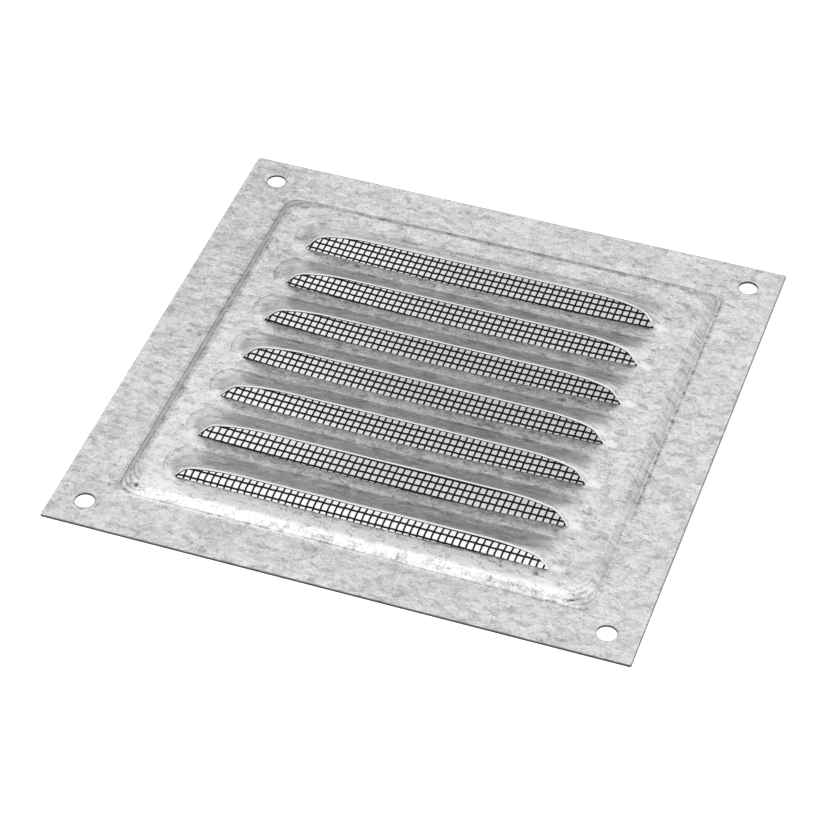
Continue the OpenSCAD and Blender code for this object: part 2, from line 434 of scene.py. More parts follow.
def add_hood(blank, columns, number):
    """One louvre: its hood as a grid and the bowed strip edge. Returns the loop of its opening in the panel."""
    y0 = SLIT_Y[number]
    grid = []
    for k, (x, rim) in enumerate(columns):
        tip = SLIT_HALF - abs(x)
        if k in (0, len(columns) - 1):
            grid.append([blank.point(rim[0], y0 + rim[1], level=1.0)] * len(HOOD_ROWS))
            continue
        grid.append([
            blank.point(
                x + (rim[0] - x) * v, y0 + rim[1] * v, level=1.0,
                from_tip=max(tip, 0.0), from_lip=v, set_back=LIP_SET[number],
            )
            for v in HOOD_ROWS
        ])
    for left, right in zip(grid, grid[1:]):
        for j in range(len(HOOD_ROWS) - 1):
            blank.quad(left[j], right[j], right[j + 1], left[j + 1])
    outline = [column[-1] for column in grid[::-1]]
    strip = [grid[1][0]]
    count = 60
    for k in range(1, count):
        a = -1 + 2 * k / count
        strip.append(blank.point(a * SLIT_HALF, y0 - STRIP_BOW[number] * (1 - a * a), level=1.0))
    strip.append(grid[-2][0])
    return outline + strip


def sheet_blank():
    blank = Blank()
    outer = square_loop(blank, PLATE / 2, radius=0.4, arc_steps=3, runs=50)
    holes = []
    for sx in (-1, 1):
        for sy in (-1, 1):
            c = PLATE / 2 - HOLE_INSET
            holes.append([
                blank.point(sx * c + HOLE_D / 2 * math.cos(a), sy * c + HOLE_D / 2 * math.sin(a))
                for a in (math.tau * k / 40 for k in range(40))
            ])
    bands = []
    for off, high in edge_rows():
        facts = {"level": high / PANEL_RISE, "inset": off}
        bands.append(square_loop(blank, PANEL / 2 - off, corner_radius(off), arc_steps=30, runs=46, **facts))
    for low_row, high_row in zip(bands, bands[1:]):
        blank.strip(low_row, high_row)
    columns = hood_columns()
    openings = [add_hood(blank, columns, k) for k in range(LOUVRES)]
    tips = [(side * (SLIT_HALF + 1.8), y + 0.5, 3.6, 0.6) for y in SLIT_Y for side in (-1, 1)]
    dent = [(DENT[0], DENT[1], 1.6, 0.3)]
    fill_flat(blank, outer, [*holes, bands[0]], step=2.6, level=0.0)
    fill_flat(blank, bands[-1], openings, step=2.6, level=1.0, dense=tips + dent)
    return blank


def blank_object(blank):
    mesh = bpy.data.meshes.new("sheet_blank")
    mesh.from_pydata([(x * MM, y * MM, 0.0) for x, y in blank.points], [], blank.faces)
    for key in ("level", "inset", "from_tip", "from_lip", "set_back"):
        scale = MM if key in ("from_tip", "set_back") else 1.0
        layer = mesh.attributes.new(key, "FLOAT", "POINT")
        layer.data.foreach_set("value", [f[key] * scale for f in blank.facts])
    return placed("sheet_blank", mesh)


def lip_line(tip, size):
    """How high the lip stands at a distance from its tip, from 0 to 1."""
    steep = tip * size["Lip end slope"] / size["Hood rise"]
    run = 1 - tip.least(size["Shoulder length"]) / size["Shoulder length"]
    shoulder = 1 - (1 - size["Shoulder part"]) * run * run
    return steep * shoulder / (steep ** 6 + shoulder ** 6) ** (1 / 6)


def hood_fall(v):
    """How far a hood has come down, from 0 at its lip (v = 0) to 1 at its outline (v = 1)."""
    area = FALL_A * (1 + FALL_0) / 2 + (FALL_B - FALL_A) + (1 - FALL_B) / 2
    near = v.least(FALL_A)
    middle = v.held(FALL_A, FALL_B) - FALL_A
    foot = 1 - v.most(FALL_B)
    fallen = near * FALL_0 + near * near * ((1 - FALL_0) / (2 * FALL_A)) + middle
    fallen = fallen + ((1 - FALL_B) / 2 - foot * foot / (2 * (1 - FALL_B)))
    return fallen / area


def bell(x, y):
    """1 in the middle of a round bump, and nearly 0 two units away from it."""
    return ((x * x + y * y) * -1).exp()


def press_tree(material):
    """Presses the flat blank: raises the panel, lifts each hood from its slit and draws its lip back."""
    sizes = {
        "Sheet thickness": SHEET * MM,
        "Panel rise": PANEL_RISE * MM,
        "Hood rise": HOOD_RISE * MM,
        "Lip end slope": math.tan(LIP_END_ANGLE),
        "Shoulder length": SHOULDER_L * MM,
        "Shoulder part": SHOULDER_PART,
        "Lip rollover": 0.26 * MM,
        "Tip bump": 0.3 * MM,
        "Corner wrinkle": 0.022 * MM,
        "Dent": 0.22 * MM,
        "Waviness": 0.09 * MM,
    }
    tree, size, start, end = new_tree("press_the_sheet", sizes)
    x, y, _ = place(tree)
    tip, v, level = named(tree, "from_tip"), named(tree, "from_lip"), named(tree, "level")

    lip = lip_line(tip, size)
    lift = size["Hood rise"] * lip * (1 - hood_fall(v))
    rolled = size["Lip rollover"] * (1 - v / ROLL).held(0, 1) ** 2 * lip

    pitch = LOUVRE_PITCH * MM
    turn = ((y - LAST_SLIT_Y * MM) / pitch).rounded().held(0, LOUVRES - 1)
    from_slit = y - LAST_SLIT_Y * MM - turn * pitch
    past_tip = (x.size() - (SLIT_HALF + PAST_TIP) * MM) / (1.9 * MM)
    bump = size["Tip bump"] * bell(past_tip, (from_slit - 0.5 * MM) / (1.2 * MM))
    dent_x, dent_y = ((at - middle * MM) / (DENT_REACH * MM) for at, middle in zip((x, y), DENT))
    dent = size["Dent"] * bell(dent_x, dent_y)

    inset = named(tree, "inset")
    corner = (x.size() * y.size()) / (x.size().most(y.size()) ** 2)
    at_corner = corner.smooth(0.87, 0.965)
    ripple = (inset / FOLD_PITCH * math.tau).sine()
    in_band = inset.band(-0.1, 0.35, 2.5, 3.3)
    front = 1 - y.smooth(-0.02, 0.05) * 0.75
    ripple = size["Corner wrinkle"] * ripple * at_corner * in_band * front

    wave = size["Waviness"] * wander(tree, 38, seed=3) * 2
    up = level * size["Panel rise"] + lift - rolled + bump - dent + ripple + wave * level
    back = named(tree, "set_back") * lip * (1 - v)
    shift = vector(tree, 0, back, up + size["Sheet thickness"])
    move = wired(tree, "GeometryNodeSetPosition", {"Geometry": start.outputs["Geometry"], "Offset": shift})
    finish_tree(tree, move.outputs[0], end, material)
    return tree, sizes


# ---- The woven mesh ----

def sag(size, x, y):
    """How far a wire strays from its place: rows toward +Y, columns toward -X, and all of it down at the front."""
    ahead = y * -1
    reach = (x / size["Half size"]).held(-0.88, 0.88)
    square = reach * reach
    curve = square * 1.1 + square * square * 0.8 - reach * 0.8 - square * reach * 0.2
    to_front, to_back = ahead.smooth(0.024, 0.036), y.smooth(0.03, 0.045)
    bow = size["Bow"] * curve * (1 - to_front * 0.4) + size["Pull"] * (to_back * 1.3 - to_front)
    bow = bow + size["Tilt at the back"] * y.smooth(0.02, 0.04) * reach
    last_rows = ahead.smooth(0.03, 0.047)
    bow = bow - size["Bow at the front"] * last_rows * (0.06 + square + reach * 0.19)
    bow = bow + size["Slack"] * ahead.band(0.008, 0.018, 0.024, 0.032) * (1 + reach * 0.5)
    lean = size["Lean"] * (to_front * 0.33 + ahead.smooth(0.04, 0.052) * 0.67)
    dip = size["Front dip"] * ((y + DIP_START * MM) / (-DIP_RUN * MM)).held(0, 1)
    return bow, lean, dip


def wire_rows(tree, size, direction):
    """The wires that run along X or across it, as curves: crimped over and under, wavering and sagging."""
    along = direction == "along"
    count = size["Wires " + direction]
    x, y, _ = place(tree)
    if along:
        crossings = size["Pitch along"]
        first, step = vector(tree, 0, size["First row"], 0), vector(tree, 0, size["Pitch across"], 0)
        travel = x / crossings + (size["Wires across"] - 1) * 0.5
    else:
        crossings = size["Pitch across"]
        first = vector(tree, (count - 1) * size["Pitch along"] * -0.5, 0, 0)
        step = vector(tree, size["Pitch along"], 0, 0)
        travel = (y - size["First row"]) / crossings
    inputs = {"Count": count, "Start Location": first, "Offset": step}
    starts = wired(tree, "GeometryNodeMeshLine", inputs, mode="OFFSET")
    inputs = {
        "Geometry": starts.outputs[0],
        "Name": "wire_number",
        "Value": tree.nodes.new("GeometryNodeInputIndex").outputs[0],
    }
    numbered = wired(tree, "GeometryNodeStoreNamedAttribute", inputs, data_type="FLOAT", domain="POINT")
    reach = [size["Half size"] * side for side in (-1, 1)]
    ends = [vector(tree, r, 0, 0) if along else vector(tree, 0, r, 0) for r in reach]
    wire = wired(tree, "GeometryNodeCurvePrimitiveLine", {"Start": ends[0], "End": ends[1]})
    inputs = {"Curve": wire.outputs[0], "Length": crossings * 0.5}
    steps = wired(tree, "GeometryNodeResampleCurve", inputs, mode="LENGTH")
    inputs = {"Points": numbered.outputs[0], "Instance": steps.outputs[0]}
    laid = wired(tree, "GeometryNodeInstanceOnPoints", inputs)
    real = wired(tree, "GeometryNodeRealizeInstances", {0: laid.outputs[0]})

    number = named(tree, "wire_number")
    over = ((travel + number) * math.pi).cosine() * size["Crimp"] * (1 if along else -1)
    bow, lean, dip = sag(size, x, y)
    spot = vector(tree, x, y, number * (0.004 if along else 0.0043))
    drift = size["Wobble"] * wander(tree, 45, seed=1 if along else 7, along=spot) * 2
    high = size["Height"] + over - dip
    shift = vector(tree, 0, bow + drift, high) if along else vector(tree, drift - lean, bow, high)
    return wired(tree, "GeometryNodeSetPosition", {"Geometry": real.outputs[0], "Offset": shift}).outputs[0]


def weave_tree(material):
    """Two families of wires, joined where they cross, with a slight crimp."""
    half = (DECK - 2 * MESH_MARGIN) / 2
    rows = [k for k in range(-40, 40) if -half + 0.3 < WIRE_START_Y + k * WIRE_PITCH_Y < half - 0.3]
    cols = int((half - 0.3) / WIRE_PITCH_X - 0.5)
    sizes = {
        "Wire diameter": WIRE_D * MM,
        "Wires along": len(rows),
        "Wires across": 2 * cols + 2,
        "Pitch along": WIRE_PITCH_X * MM,
        "Pitch across": WIRE_PITCH_Y * MM,
        "First row": (WIRE_START_Y + rows[0] * WIRE_PITCH_Y) * MM,
        "Half size": half * MM,
        "Height": (PANEL_RISE - MESH_T / 2) * MM,
        "Crimp": 0.06 * MM,
        "Bow": 1 * MM,
        "Pull": 0.4 * MM,
        "Tilt at the back": 0.45 * MM,
        "Bow at the front": 1.64 * MM,
        "Slack": 0.28 * MM,
        "Lean": 0.9 * MM,
        "Wobble": 0.07 * MM,
        "Front dip": 1.7 * MM,
    }
    tree, size, _, end = new_tree("weave_the_mesh", sizes)
    inputs = {"Resolution": 8, "Radius": size["Wire diameter"] / 2}
    profile = wired(tree, "GeometryNodeCurvePrimitiveCircle", inputs)
    all_wires = tree.nodes.new("GeometryNodeJoinGeometry")
    for direction in ("along", "across"):
        inputs = {
            "Curve": wire_rows(tree, size, direction),
            "Profile Curve": profile.outputs[0],
            "Fill Caps": True,
        }
        tube = wired(tree, "GeometryNodeCurveToMesh", inputs)
        tree.links.new(tube.outputs[0], all_wires.inputs[0])
    finish_tree(tree, all_wires.outputs[0], end, material)
    return tree, sizes


# ---- Finishes ----

class Surface:
    """The nodes of one finish, with its coordinates in millimetres on the object."""

    def __init__(self, name):
        self.finish = bpy.data.materials.new(name)
        self.finish.use_nodes = True
        self.tree = self.finish.node_tree
        self.skin = self.tree.nodes["Principled BSDF"]
        inputs = {0: self.tree.nodes.new("ShaderNodeTexCoord").outputs["Object"], "Scale": 1 / MM}
        self.spot = wired(self.tree, "ShaderNodeVectorMath", inputs, operation="SCALE").outputs[0]
        self.x, self.y, self.z = parts(self.tree, self.spot)

    def noise(self, where, scale, detail, rough, seed, swirl=0):
        """Noise about 0, from -0.5 to 0.5 or so."""
        return Amount(self.tree, self.noise_node(where, scale, detail, rough, seed, swirl).outputs[0]) - 0.5

    def noise_node(self, where, scale, detail, rough, seed, swirl=0):
        inputs = {0: where, 1: (37.3 * seed, 11.9 * seed, 0)}
        away = wired(self.tree, "ShaderNodeVectorMath", inputs, operation="ADD")
        inputs = {
            "Vector": away.outputs[0],
            "Scale": scale,
            "Detail": detail,
            "Roughness": rough,
            "Distortion": swirl,
        }
        return wired(self.tree, "ShaderNodeTexNoise", inputs, noise_dimensions="2D")

    def warped(self, where, scale, reach, seed):
        """The coordinates pushed about by noise, by up to reach / 2 each way."""
        push_x, push_y, _ = parts(self.tree, self.noise_node(where, scale, 2, 0.55, seed).outputs["Color"])
        x, y, z = parts(self.tree, where)
        return vector(self.tree, x + (push_x - 0.5) * reach, y + (push_y - 0.5) * reach, z)

    def stretched(self, where, along_x, along_y, angle=None):
        """The coordinates turned by an angle and scaled along X and Y."""
        x, y, _ = parts(self.tree, where)
        if angle is not None:
            c, s = angle.cosine(), angle.sine()
            x, y = x * c + y * s, y * c - x * s
        return vector(self.tree, x * along_x, y * along_y, 0)

    def cells(self, where, scale, feature="F1"):
        """Voronoi cells: a distance, and three random numbers for each cell."""
        inputs = {"Vector": where, "Scale": scale}
        made = wired(self.tree, "ShaderNodeTexVoronoi", inputs, voronoi_dimensions="2D", feature=feature)
        picks = parts(self.tree, made.outputs["Color"]) if feature == "F1" else []
        return Amount(self.tree, made.outputs["Distance"]), picks

    def scratch(self, start, end, width):
        """1 along a straight scratch, falling to 0 at its width."""
        length = math.dist(start, end)
        step_x, step_y = (end[0] - start[0]) / length, (end[1] - start[1]) / length
        x, y = self.x - start[0], self.y - start[1]
        along = x * step_x + y * step_y
        past = along - along.held(0, length)
        beside = x * step_y - y * step_x
        return distance(past, beside).fade(width * 0.3, width)

    def layer(self, name):
        """A number stored on the mesh."""
        return Amount(self.tree, wired(self.tree, "ShaderNodeAttribute", attribute_name=name).outputs["Fac"])

    def shader(self, **values):
        """Links Amounts to the shader's inputs, and sets plain values on them."""
        for name, value in values.items():
            entry = self.skin.inputs[name.replace("_", " ")]
            if isinstance(value, Amount):
                self.tree.links.new(value.socket, entry)
            else:
                entry.default_value = value

    def tint(self, value):
        self.tree.links.new(vector(self.tree, value, value, value), self.skin.inputs["Base Color"])

    def relief(self, height):
        """Bump from a height in millimetres."""
        made = wired(self.tree, "ShaderNodeBump", {"Strength": 1, "Distance": MM, "Height": height})
        self.tree.links.new(made.outputs[0], self.skin.inputs["Normal"])


def distance(x, y):
    return (x * x + y * y).root()


def hood_distance(on):
    """Millimetres outside the nearest hood's outline, how far behind its slit line, and its number from the front."""
    turn = ((on.y - (LAST_SLIT_Y + 3.2)) / LOUVRE_PITCH).rounded().held(0, LOUVRES - 1)
    behind = on.y - LAST_SLIT_Y - turn * LOUVRE_PITCH
    past = (on.x.size() - END_X).most(0)
    high = behind - END_Y
    outside = distance(past, high) - HOOD_END
    return outside, behind, turn


PLAIN_ZINC = 0.755
PLAIN_ROUGHNESS = 0.4

# How much paler each mark makes the zinc; below 0 it is darker
TONE = {
    "large grains": 0.16,
    "small grains": 0.12,
    "feathers": 0.36,
    "fine feathers": 0.33,
    "leaf rims": 0.14,
    "leaves": -0.12,
    "small leaf rims": 0.1,
    "small leaves": -0.11,
    "pale veins": 0.15,
    "grain rims": 0.1,
    "small grain rims": 0.08,
    "dark veins": -0.14,
    "dashes": -0.14,
    "rolling lines": 0.12,
    "clouds": 0.1,
    "hoods": 0.02,
    "drawn streaks": 0.9,
    "hood flecks": -0.24,
    # Painted light and painted shade on the hoods' ends
    "painted light on left hood ends": 0.18,
    "less painted light on back hood left end": -0.12,
    "painted shade on right of back hood": -0.18,
    "painted light on right of other hoods": 0.12,
    # Painted shade round the feet of the hood ends, less of it on the right
    "end rings": -0.14,
    "right end rings": 0.1,
    "flow lines": 0.4,
    "die lines": -0.26,
    "pale die lines": 0.12,
    # Painted highlights on the bumps past the slit tips
    "painted highlights past hood tips": 0.4,
    "strips": -0.02,
    "strip crackle": 0.7,
    "fine strip crackle": 0.4,
    "strip cracks": -0.24,
    # Painted light on the strip before the front slit
    "painted light on the strip before the first slit": 0.32,
    # Painted shade along the back of the back hood's foot
    "painted shade behind the back hood": -0.14,
    # Painted shade along the edges of the slits
    "painted shade at the slits": -0.4,
    # Painted highlight on the front slope, with crackle in it
    "painted front highlight": 0.34,
    "painted front highlight crackle": 0.5,
    "lengthwise lines": 0.7,
    # Painted light and shade on the front side of the panel's edge, less on its right part
    "painted light on the flange in front": 0.06,
    "front slope": -0.04,
    "lower front slope": -0.06,
    "right front slope": -0.22,
    # Painted highlight along the foot of the fold
    "painted highlight along the fold": 0.06,
    # Painted shade on the flange at the back left; painted light on the left of the deck, less toward the back
    "painted shade on the flange at the back left": -0.06,
    "left deck": 0.09,
    "back left deck": -0.12,
    # Painted light on the ridges of the corner wrinkles and painted shade in their valleys
    "painted light on the wrinkle ridges": 0.14,
    "painted shade in the wrinkle valleys": -0.24,
    "dent": -0.75,
    # Painted shade along the plate's cut edges
    "sheared edges": -0.6,
    "specks": -0.35,
}


class ZincSheet(Surface):
    """Bare hot-dip zinc: feathery spangle, rolling lines, streaks where the sheet was drawn, and painted light and
    shade on the creases, hoods and slopes.

    A mark is 1 where it lies and 0 elsewhere, and TONE says how much it shows. Places are in millimetres.
    """

    def __init__(self):
        super().__init__("zinc_coated_sheet")
        self.value = PLAIN_ZINC
        self.left, self.front = self.x * -1, self.y * -1
        self.wide, self.deep = self.x.size(), self.y.size()
        self.bent = self.warped(self.warped(self.spot, 0.35, 2, seed=1), 1.3, 0.7, seed=3)
        self.here = self.noise(self.spot, 0.45, 1, 0.5, seed=4)
        self.crackle = self.grain(0.5, 1.3, 4, 0.72, seed=15)
        self.outside, self.behind, self.number = hood_distance(self)
        self.front_one = self.number.fade(0, 0.5)
        self.back_one = self.number.smooth(5.2, 5.8)
        self.inset = self.layer("inset")
        self.beside = (self.wide - self.deep).smooth(-1, 1)
        self.at_front = self.y.smooth(-50, -60) * (1 - self.beside)
        self.at_back = self.y.smooth(40, 50) * (1 - self.beside)
        self.at_left = self.left.smooth(40, 50) * self.beside
        self.at_right = self.x.smooth(40, 50) * self.beside

    def grain(self, along_x, along_y, detail, rough, seed, where=None, angle=None, scale=1, swirl=0):
        """Noise with a scale of its own along X and along Y."""
        where = self.stretched(self.bent if where is None else where, along_x, along_y, angle)
        return self.noise(where, scale, detail, rough, seed, swirl)

    def tone(self, name, mark):
        self.value = self.value + mark * TONE[name]

    def darken(self, mark):
        self.value = self.value - mark

    def shade(self, name, mark):
        self.value = self.value * (1 + mark * TONE[name])

    def spangle(self):
        """Zinc grains of two sizes, the feathers in them, leaves, veins and rolling lines."""
        wide = self.stretched(self.bent, 0.62, 1)
        edge, (light, angle, self.sheen) = self.grains(wide, 0.46)
        small = self.stretched(self.bent, 0.6, 1)
        small_edge, (small_light, small_angle, _) = self.grains(small, 1.05)
        self.light = light - 0.5
        self.fibre = self.grain(0.5, 2.6, 4, 0.65, seed=2, angle=(angle - 0.5) * 1.6)
        self.fine_fibre = self.grain(1.3, 5.5, 3, 0.65, seed=8, angle=(small_angle - 0.5) * 1.6)
        self.tone("large grains", self.light)
        self.tone("small grains", small_light - 0.5)
        self.tone("feathers", self.fibre)
        self.tone("fine feathers", self.fine_fibre)

        leaf = self.grain(0.3, 0.6, 2, 0.5, seed=22)
        small_leaf = self.grain(0.75, 1.4, 2, 0.5, seed=23)
        self.tone("leaf rims", leaf.line(0.055, 0, 0.02))
        self.tone("leaves", leaf.smooth(0.05, 0.08))
        self.tone("small leaf rims", small_leaf.line(0.08, 0, 0.035))
        self.tone("small leaves", small_leaf.smooth(0.08, 0.12))

        vein = self.noise(self.bent, 0.5, 4, 0.62, seed=11, swirl=1.2)
        dark_vein = self.grain(0.6, 1.5, 3, 0.6, seed=13, scale=0.7, swirl=0.8)
        self.tone("pale veins", vein.size().fade(0, 0.04))
        self.tone("grain rims", edge.fade(0, 0.09) * self.here.smooth(-0.12, 0.1))
        self.tone("small grain rims", small_edge.fade(0, 0.12) * self.here.smooth(0.12, -0.1))
        self.tone("dark veins", dark_vein.size().fade(0, 0.035))
        self.tone("dashes", self.grain(0.8, 4.2, 2, 0.55, seed=18, where=self.spot).smooth(0.13, 0.24))
        self.rolling = self.grain(0.03, 2.2, 2, 0.5, seed=6, where=self.spot)
        self.tone("rolling lines", self.rolling)
        self.tone("clouds", self.noise(self.spot, 0.06, 2, 0.5, seed=9))

    def grains(self, where, scale):
        """Cells of one size: how far a point is from their rims, and three random numbers for each."""
        _, picks = self.cells(where, scale)
        edge, _ = self.cells(where, scale, "DISTANCE_TO_EDGE")
        return edge, picks

    def hood_marks(self):
        """Streaks on the drawn hoods and the die's line round them, painted light and shade on the hoods' ends, and
        painted highlights on the bumps past their tips.
        """
        outside, behind, last = self.outside, self.behind, self.back_one
        self.in_hood = outside.fade(-1.6, 0.3) * behind.smooth(-0.4, 0.6)
        self.streak = self.grain(0.09, 2, 4, 0.65, seed=12)
        self.tone("hoods", self.in_hood)
        self.tone("drawn streaks", self.in_hood * self.streak)
        self.tone("hood flecks", self.in_hood * self.grain(0.3, 3.2, 3, 0.6, seed=24).smooth(0.1, 0.22))

        # Painted light on the hoods' left ends, less of it on the back hood; painted shade on the back hood's right
        # part; painted light on the right parts of the other hoods
        painted_light_on_left_ends = self.in_hood * self.left.smooth(43, 49)
        self.tone("painted light on left hood ends", painted_light_on_left_ends)
        self.tone("less painted light on back hood left end", painted_light_on_left_ends * last)
        self.tone("painted shade on right of back hood", self.in_hood * self.x.band(30, 42, 46, 50) * last)
        painted_light_on_right_parts = self.in_hood * self.x.smooth(38, 44) * outside.fade(-2.8, -1.4)
        self.tone("painted light on right of other hoods", painted_light_on_right_parts * (1 - last))

        at_end = self.wide.smooth(45, 48.5)
        # Painted shade round the feet of the hood ends, less on the back hood and on the right half
        ring = outside.band(-2.8, -0.9, 0.2, 1.2) * at_end * behind.smooth(0, 3) * (1 - last * 0.4)
        self.tone("end rings", ring)
        self.tone("right end rings", ring * self.x.smooth(-1, 1))
        round_hood = vector(self.tree, outside * 2.6, behind * 0.16 + self.number * 3.7, 0)
        flow = self.noise(round_hood, 1, 3, 0.6, seed=33)
        flow_zone = at_end * outside.band(-5, -3, 0.6, 2.4) * behind.smooth(-0.2, 1)
        self.tone("flow lines", flow_zone * flow)

        unworn = self.noise(self.spot, 0.16, 2, 0.5, seed=14).smooth(-0.08, 0.12)
        unworn = (unworn + self.left.smooth(40, 46) * 0.5).least(1)
        past_slit = behind.smooth(0, 1.5)
        unworn = unworn * (1 - self.x.smooth(44, 48) * 0.6)
        self.tone("die lines", outside.line(0.45, 0.03, 0.16) * past_slit * unworn)
        pale_line = outside.line(0.75, 0.03, 0.2) * past_slit * self.here.smooth(-0.1, 0.1)
        self.tone("pale die lines", pale_line)
        # Painted highlights on the bumps past the slit tips, stronger on the right
        tip_x, tip_y = (self.wide - (SLIT_HALF + PAST_TIP)) / 1.7, (behind - 0.55) / 1.3
        painted_glint = distance(tip_x, tip_y).fade(0.2, 1.4)
        self.tone("painted highlights past hood tips", painted_glint * (0.35 + 0.65 * self.x.smooth(-1, 1)))

    def strip_marks(self):
        """Crackled zinc on the strips in front of the slits, painted light on the strip before the front slit,
        painted shade at the feet of the hoods and along the slits, and a painted highlight on the front slope.
        """
        outside, behind, first = self.outside, self.behind, self.front_one
        self.strip = behind.band(-4.8, -4, -0.3, 0.5) * self.wide.fade(44, 50)
        self.tone("strips", self.strip)
        self.tone("strip crackle", self.strip * self.crackle)
        self.tone("fine strip crackle", self.strip * self.grain(1.1, 2.8, 3, 0.65, seed=34))
        crack = self.grain(0.3, 0.9, 3, 0.6, seed=19, swirl=0.6).size().fade(0, 0.03)
        self.tone("strip cracks", self.strip * crack)
        # Painted light: the strip before the front slit is made paler
        self.shade("painted light on the strip before the first slit", self.strip * first)

        # Painted shade at the feet of the hoods, in patches, less on the back hood
        foot = outside.band(-2.4, -0.4, 0.5, 2) * behind.smooth(4, 8) * self.wide.fade(45, 50)
        patch = self.grain(0.09, 0.4, 3, 0.6, seed=27)
        patchy_shade = (0.34 + patch * 1.1).held(0.08, 0.65)
        self.value = self.value * (1 - foot * (1 - self.back_one * 0.55) * patchy_shade)
        # Painted shade along the back of the back hood's foot
        painted_back_shade = self.back_one * outside.line(0.75, 0.2, 0.7) * behind.smooth(8, 10)
        self.tone("painted shade behind the back hood", painted_back_shade * self.x.band(-40, -20, 40, 46))

        # Painted shade: a dark line along the edge of each slit, wider at the front slit
        reach = self.x / SLIT_HALF
        from_edge = behind + (0.3 + self.number.smooth(0, 0.5)) * (1 - reach * reach)
        painted_slit_shade = ((from_edge + 0.1 + first * 0.15).size() - first * 0.15).fade(0.04, 0.22)
        self.tone("painted shade at the slits", painted_slit_shade * reach.size().fade(0.97, 1))
        # Painted highlight on the front slope, with crackle in it
        painted_front_highlight = self.front.band(54.3, 58.6, 61, 61.8) * self.wide.fade(54, 59)
        self.shade("painted front highlight", painted_front_highlight)
        self.tone("painted front highlight crackle", painted_front_highlight * self.crackle)

    def fold_marks(self):
        """Lengthwise lines, a paler band on the right, and painted light and shade in the creases, along the four
        sides of the panel's edge, and on the deck and flange beside it.
        """
        inset, here = self.inset, self.here
        lengthwise_y = self.grain(2.4, 0.05, 4, 0.65, seed=16, where=self.spot)
        lengthwise_x = self.grain(0.05, 2.4, 4, 0.65, seed=17, where=self.spot)
        lengthwise = lengthwise_y * self.beside + lengthwise_x * (1 - self.beside)
        in_edge = inset.band(0, 0.3, 2.6, 4)
        self.tone("lengthwise lines", in_edge * (1 - self.at_right * 0.5) * lengthwise)

        # Painted shade in the crease at the foot of the panel's edge, weaker on the right, with lengthwise streaks in
        # it
        fold_place = 0.42 + self.at_front * (0.15 - self.x.smooth(-10, 50) * 0.6)
        self.crease = (inset - fold_place).size().fade(0.05, 0.24)
        depth = 0.26 + self.at_front * 0.08 - self.at_right * 0.24 + lengthwise * 0.5
        self.darken(self.crease * depth)

        self.front_fold()
        # Painted highlight along the foot of the fold, except on the right
        self.tone("painted highlight along the fold", inset.line(-0.05, 0.05, 0.22) * (1 - self.at_right))
        self.left_fold(lengthwise)
        self.right_fold()
        # Painted shade on the back slope of the panel's edge, with lengthwise streaks, less toward the right end
        painted_back_shade = self.at_back * inset.band(2, 2.5, 3.5, 4.7)
        self.darken(painted_back_shade * (0.3 + lengthwise * 0.5 - self.x.smooth(40, 52) * 0.1))
        # Painted shade on the flange at the back left; painted light on the left of the deck, less toward the back,
        # where it turns a little darker
        self.tone("painted shade on the flange at the back left", self.left.smooth(50, 66) * self.y.smooth(-30, 40))
        painted_light_on_left_deck = self.left.smooth(42, 50) * inset.smooth(3.4, 5)
        self.tone("left deck", painted_light_on_left_deck)
        self.tone("back left deck", painted_light_on_left_deck * self.y.smooth(-15, 25))

    def front_fold(self):
        # Painted light and shade on the front side: a paler flange beside the fold, darker bands within the slope's
        # painted highlight, and darker toward the right
        flange = self.at_front * self.inset.band(-3, -1.6, 0, 0.4) * self.x.fade(30, 50)
        self.tone("painted light on the flange in front", flange)
        self.tone("front slope", self.at_front * self.inset.band(0.6, 1.2, 3.2, 4))
        self.tone("lower front slope", self.at_front * self.inset.band(0.3, 0.8, 1.6, 2.4))
        right_part = self.at_front * self.x.smooth(-15, 45) * self.inset.band(-0.1, 0.2, 1.2, 2.6)
        self.shade("right front slope", right_part)

    def left_fold(self, lengthwise):
        # Lengthwise streaks on the left slope
        slope = self.at_left * self.inset.band(-0.5, 0.1, 3.6, 5.2)
        self.darken(slope * (0.01 + lengthwise * 0.6))
        # Painted shade along the left crease and near the top of the slope, with painted light between them
        lines = self.inset.line(-0.2, 0.15, 0.6) * 0.12 - self.inset.line(1.1, 0.3, 1) * 0.18
        lines = lines + self.inset.line(3.1, 0.35, 1) * (0.14 + lengthwise * 0.3)
        self.darken(self.at_left * lines)

    def right_fold(self):
        # Painted shade along and outside the right crease and at the top of the right slope, more toward the back,
        # with a paler crackled band between them
        toward_back = self.y.smooth(-32, -18)
        lines = self.inset.line(-0.05, 0.12, 0.42) * (0.08 + toward_back * 0.22)
        lines = lines + self.inset.line(-0.55, 0.1, 0.45) * (toward_back * 0.13)
        self.darken(self.at_right * lines * (1 + self.here * 2.4).held(0.4, 1.6))
        pale_right_band = self.at_right * self.inset.band(0.8, 1.5, 2.8, 4.2)
        self.value = self.value + pale_right_band * (0.07 + self.crackle * 0.3)
        top_line = self.at_right * self.inset.line(2.75, 0.4, 0.9)
        self.darken(top_line * (0.06 + toward_back * 0.08))

    def corner_marks(self):
        """Wrinkles at the two front corners of the panel, and the dent beside the left one."""
        corner = self.wide * self.deep / (self.wide.most(self.deep) ** 2)
        self.folds = corner.smooth(0.87, 0.94) * self.y.fade(-40, -30) * self.inset.band(0.3, 0.6, 2.7, 3.3)
        self.fold = ((self.inset + self.here * 0.25) / FOLD_PITCH * math.tau).sine()
        # Painted light on the ridges of the corner wrinkles and painted shade in their valleys
        self.tone("painted light on the wrinkle ridges", self.folds * (self.fold * -1).most(0) ** 3)
        self.tone("painted shade in the wrinkle valleys", self.folds * self.fold.most(0) ** 5)
        dent_x, dent_y = (self.x - DENT[0]) / 0.8, (self.y - DENT[1]) / 0.7
        self.shade("dent", distance(dent_x, dent_y).fade(0.4, 1.2))

